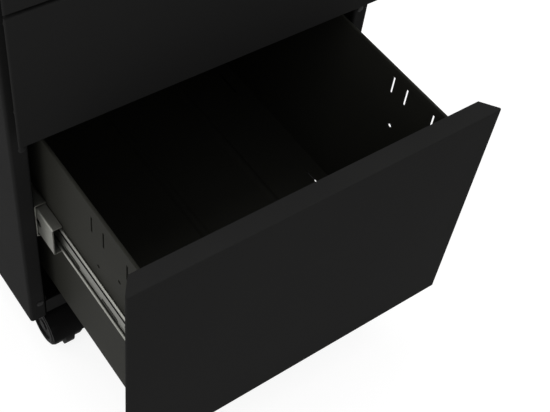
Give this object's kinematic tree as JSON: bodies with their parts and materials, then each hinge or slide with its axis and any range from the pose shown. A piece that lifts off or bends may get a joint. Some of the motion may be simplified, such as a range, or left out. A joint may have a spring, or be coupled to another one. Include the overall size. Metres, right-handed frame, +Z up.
{
  "type": "mobile file cabinet",
  "caption": "Mobile file cabinet of folded steel sheet, with box drawers over a deep filing drawer on telescopic ball slides, bevelled finger-grip fronts and swivel castors.",
  "frame": {"origin": "centre of the footprint of the rest pose, on the floor under the castors", "axes": "+X to the right seen from the front, +Y from the front to the back, +Z up"},
  "size_m": [0.39, 0.6876, 0.65],
  "materials": {
    "coated_steel": "fine-textured black powder coat, low sheen",
    "zinc_plate": "bright zinc plate with a faint warm cast",
    "black_plastic": "black moulded nylon, low sheen",
    "lock_chrome": "polished nickel plate"
  },
  "bodies": {
    "carcass": {"left_side_panel": "coated_steel", "right_side_panel": "coated_steel", "back_panel": "coated_steel", "base_pan": "coated_steel", "top_panel": "coated_steel", "front_rail": "coated_steel", "slide_uprights": "coated_steel", "top_left_cabinet_member": "zinc_plate", "top_right_cabinet_member": "zinc_plate", "middle_left_cabinet_member": "zinc_plate", "middle_right_cabinet_member": "zinc_plate", "file_left_cabinet_member": "zinc_plate", "file_right_cabinet_member": "zinc_plate", "front_left_castor_plate": "zinc_plate", "front_right_castor_plate": "zinc_plate", "rear_left_castor_plate": "zinc_plate", "rear_right_castor_plate": "zinc_plate", "castor_bolts": "zinc_plate"},
    "top_drawer": {"top_drawer_box": "coated_steel", "top_drawer_front": "coated_steel", "top_drawer_liner": "coated_steel", "top_left_drawer_member": "zinc_plate", "top_right_drawer_member": "zinc_plate", "lock_barrel": "lock_chrome"},
    "middle_drawer": {"middle_drawer_box": "coated_steel", "middle_drawer_front": "coated_steel", "middle_drawer_liner": "coated_steel", "middle_left_drawer_member": "zinc_plate", "middle_right_drawer_member": "zinc_plate"},
    "file_drawer": {"file_drawer_box": "coated_steel", "file_drawer_front": "coated_steel", "file_drawer_liner": "coated_steel", "file_left_drawer_member": "zinc_plate", "file_right_drawer_member": "zinc_plate"},
    "top_intermediate_members": {"top_left_intermediate_member": "zinc_plate", "top_right_intermediate_member": "zinc_plate"},
    "top_outer_cages": {"top_outer_ball_cages": "zinc_plate"},
    "top_inner_cages": {"top_inner_ball_cages": "zinc_plate"},
    "middle_intermediate_members": {"middle_left_intermediate_member": "zinc_plate", "middle_right_intermediate_member": "zinc_plate"},
    "middle_outer_cages": {"middle_outer_ball_cages": "zinc_plate"},
    "middle_inner_cages": {"middle_inner_ball_cages": "zinc_plate"},
    "file_intermediate_members": {"file_left_intermediate_member": "zinc_plate", "file_right_intermediate_member": "zinc_plate"},
    "file_outer_cages": {"file_outer_ball_cages": "zinc_plate"},
    "file_inner_cages": {"file_inner_ball_cages": "zinc_plate"},
    "front_left_castor": {"front_left_castor_hood": "black_plastic", "front_left_castor_axle": "zinc_plate"},
    "front_left_wheels": {"front_left_castor_wheels": "black_plastic"},
    "front_right_castor": {"front_right_castor_hood": "black_plastic", "front_right_castor_axle": "zinc_plate"},
    "front_right_wheels": {"front_right_castor_wheels": "black_plastic"},
    "rear_left_castor": {"rear_left_castor_hood": "black_plastic", "rear_left_castor_axle": "zinc_plate"},
    "rear_left_wheels": {"rear_left_castor_wheels": "black_plastic"},
    "rear_right_castor": {"rear_right_castor_hood": "black_plastic", "rear_right_castor_axle": "zinc_plate"},
    "rear_right_wheels": {"rear_right_castor_wheels": "black_plastic"},
    "lock_cylinder": {"lock_plug": "lock_chrome", "lock_cam": "zinc_plate"}
  },
  "joints": [
    {"name": "top_drawer_travel", "type": "slide", "parent": "carcass", "child": "top_drawer", "axis": [0, -1, 0], "range_m": [0, 0.4]},
    {"name": "top_intermediate_members_travel", "type": "slide", "parent": "carcass", "child": "top_intermediate_members", "axis": [0, -1, 0], "range_m": [0, 0.14]},
    {"name": "top_outer_cages_travel", "type": "slide", "parent": "carcass", "child": "top_outer_cages", "axis": [0, -1, 0], "range_m": [0, 0.07]},
    {"name": "top_inner_cages_travel", "type": "slide", "parent": "carcass", "child": "top_inner_cages", "axis": [0, -1, 0], "range_m": [0, 0.27]},
    {"name": "middle_drawer_travel", "type": "slide", "parent": "carcass", "child": "middle_drawer", "axis": [0, -1, 0], "range_m": [0, 0.4]},
    {"name": "middle_intermediate_members_travel", "type": "slide", "parent": "carcass", "child": "middle_intermediate_members", "axis": [0, -1, 0], "range_m": [0, 0.14]},
    {"name": "middle_outer_cages_travel", "type": "slide", "parent": "carcass", "child": "middle_outer_cages", "axis": [0, -1, 0], "range_m": [0, 0.07]},
    {"name": "middle_inner_cages_travel", "type": "slide", "parent": "carcass", "child": "middle_inner_cages", "axis": [0, -1, 0], "range_m": [0, 0.27]},
    {"name": "file_drawer_travel", "type": "slide", "parent": "carcass", "child": "file_drawer", "axis": [0, -1, 0], "range_m": [-0.1675, 0.2325]},
    {"name": "file_intermediate_members_travel", "type": "slide", "parent": "carcass", "child": "file_intermediate_members", "axis": [0, -1, 0], "range_m": [-0.05862, 0.08138]},
    {"name": "file_outer_cages_travel", "type": "slide", "parent": "carcass", "child": "file_outer_cages", "axis": [0, -1, 0], "range_m": [-0.02931, 0.04069]},
    {"name": "file_inner_cages_travel", "type": "slide", "parent": "carcass", "child": "file_inner_cages", "axis": [0, -1, 0], "range_m": [-0.11306, 0.15694]},
    {"name": "lock_turn", "type": "hinge", "parent": "top_drawer", "child": "lock_cylinder", "pos_m": [0.13358, -0.15775, 0.612], "axis": [0, 1, 0], "range_deg": [0, 90]},
    {"name": "front_left_swivel", "type": "hinge", "parent": "carcass", "child": "front_left_castor", "pos_m": [-0.1605, -0.12615, 0.05], "axis": [0, 0, 1], "continuous": true},
    {"name": "front_left_roll", "type": "hinge", "parent": "front_left_castor", "child": "front_left_wheels", "pos_m": [-0.1605, -0.14315, 0.025], "axis": [1, 0, 0], "continuous": true},
    {"name": "front_right_swivel", "type": "hinge", "parent": "carcass", "child": "front_right_castor", "pos_m": [0.1605, -0.12615, 0.05], "axis": [0, 0, 1], "continuous": true},
    {"name": "front_right_roll", "type": "hinge", "parent": "front_right_castor", "child": "front_right_wheels", "pos_m": [0.1605, -0.14315, 0.025], "axis": [1, 0, 0], "continuous": true},
    {"name": "rear_left_swivel", "type": "hinge", "parent": "carcass", "child": "rear_left_castor", "pos_m": [-0.1605, 0.28585, 0.05], "axis": [0, 0, 1], "continuous": true},
    {"name": "rear_left_roll", "type": "hinge", "parent": "rear_left_castor", "child": "rear_left_wheels", "pos_m": [-0.1605, 0.26885, 0.025], "axis": [1, 0, 0], "continuous": true},
    {"name": "rear_right_swivel", "type": "hinge", "parent": "carcass", "child": "rear_right_castor", "pos_m": [0.1605, 0.28585, 0.05], "axis": [0, 0, 1], "continuous": true},
    {"name": "rear_right_roll", "type": "hinge", "parent": "rear_right_castor", "child": "rear_right_wheels", "pos_m": [0.1605, 0.26885, 0.025], "axis": [1, 0, 0], "continuous": true}
  ],
  "couplings": [
    {"joint": "top_intermediate_members_travel", "follows": "top_drawer_travel", "ratio": 0.35},
    {"joint": "top_outer_cages_travel", "follows": "top_drawer_travel", "ratio": 0.175},
    {"joint": "top_inner_cages_travel", "follows": "top_drawer_travel", "ratio": 0.675},
    {"joint": "middle_intermediate_members_travel", "follows": "middle_drawer_travel", "ratio": 0.35},
    {"joint": "middle_outer_cages_travel", "follows": "middle_drawer_travel", "ratio": 0.175},
    {"joint": "middle_inner_cages_travel", "follows": "middle_drawer_travel", "ratio": 0.675},
    {"joint": "file_intermediate_members_travel", "follows": "file_drawer_travel", "ratio": 0.35},
    {"joint": "file_outer_cages_travel", "follows": "file_drawer_travel", "ratio": 0.175},
    {"joint": "file_inner_cages_travel", "follows": "file_drawer_travel", "ratio": 0.675}
  ]
}
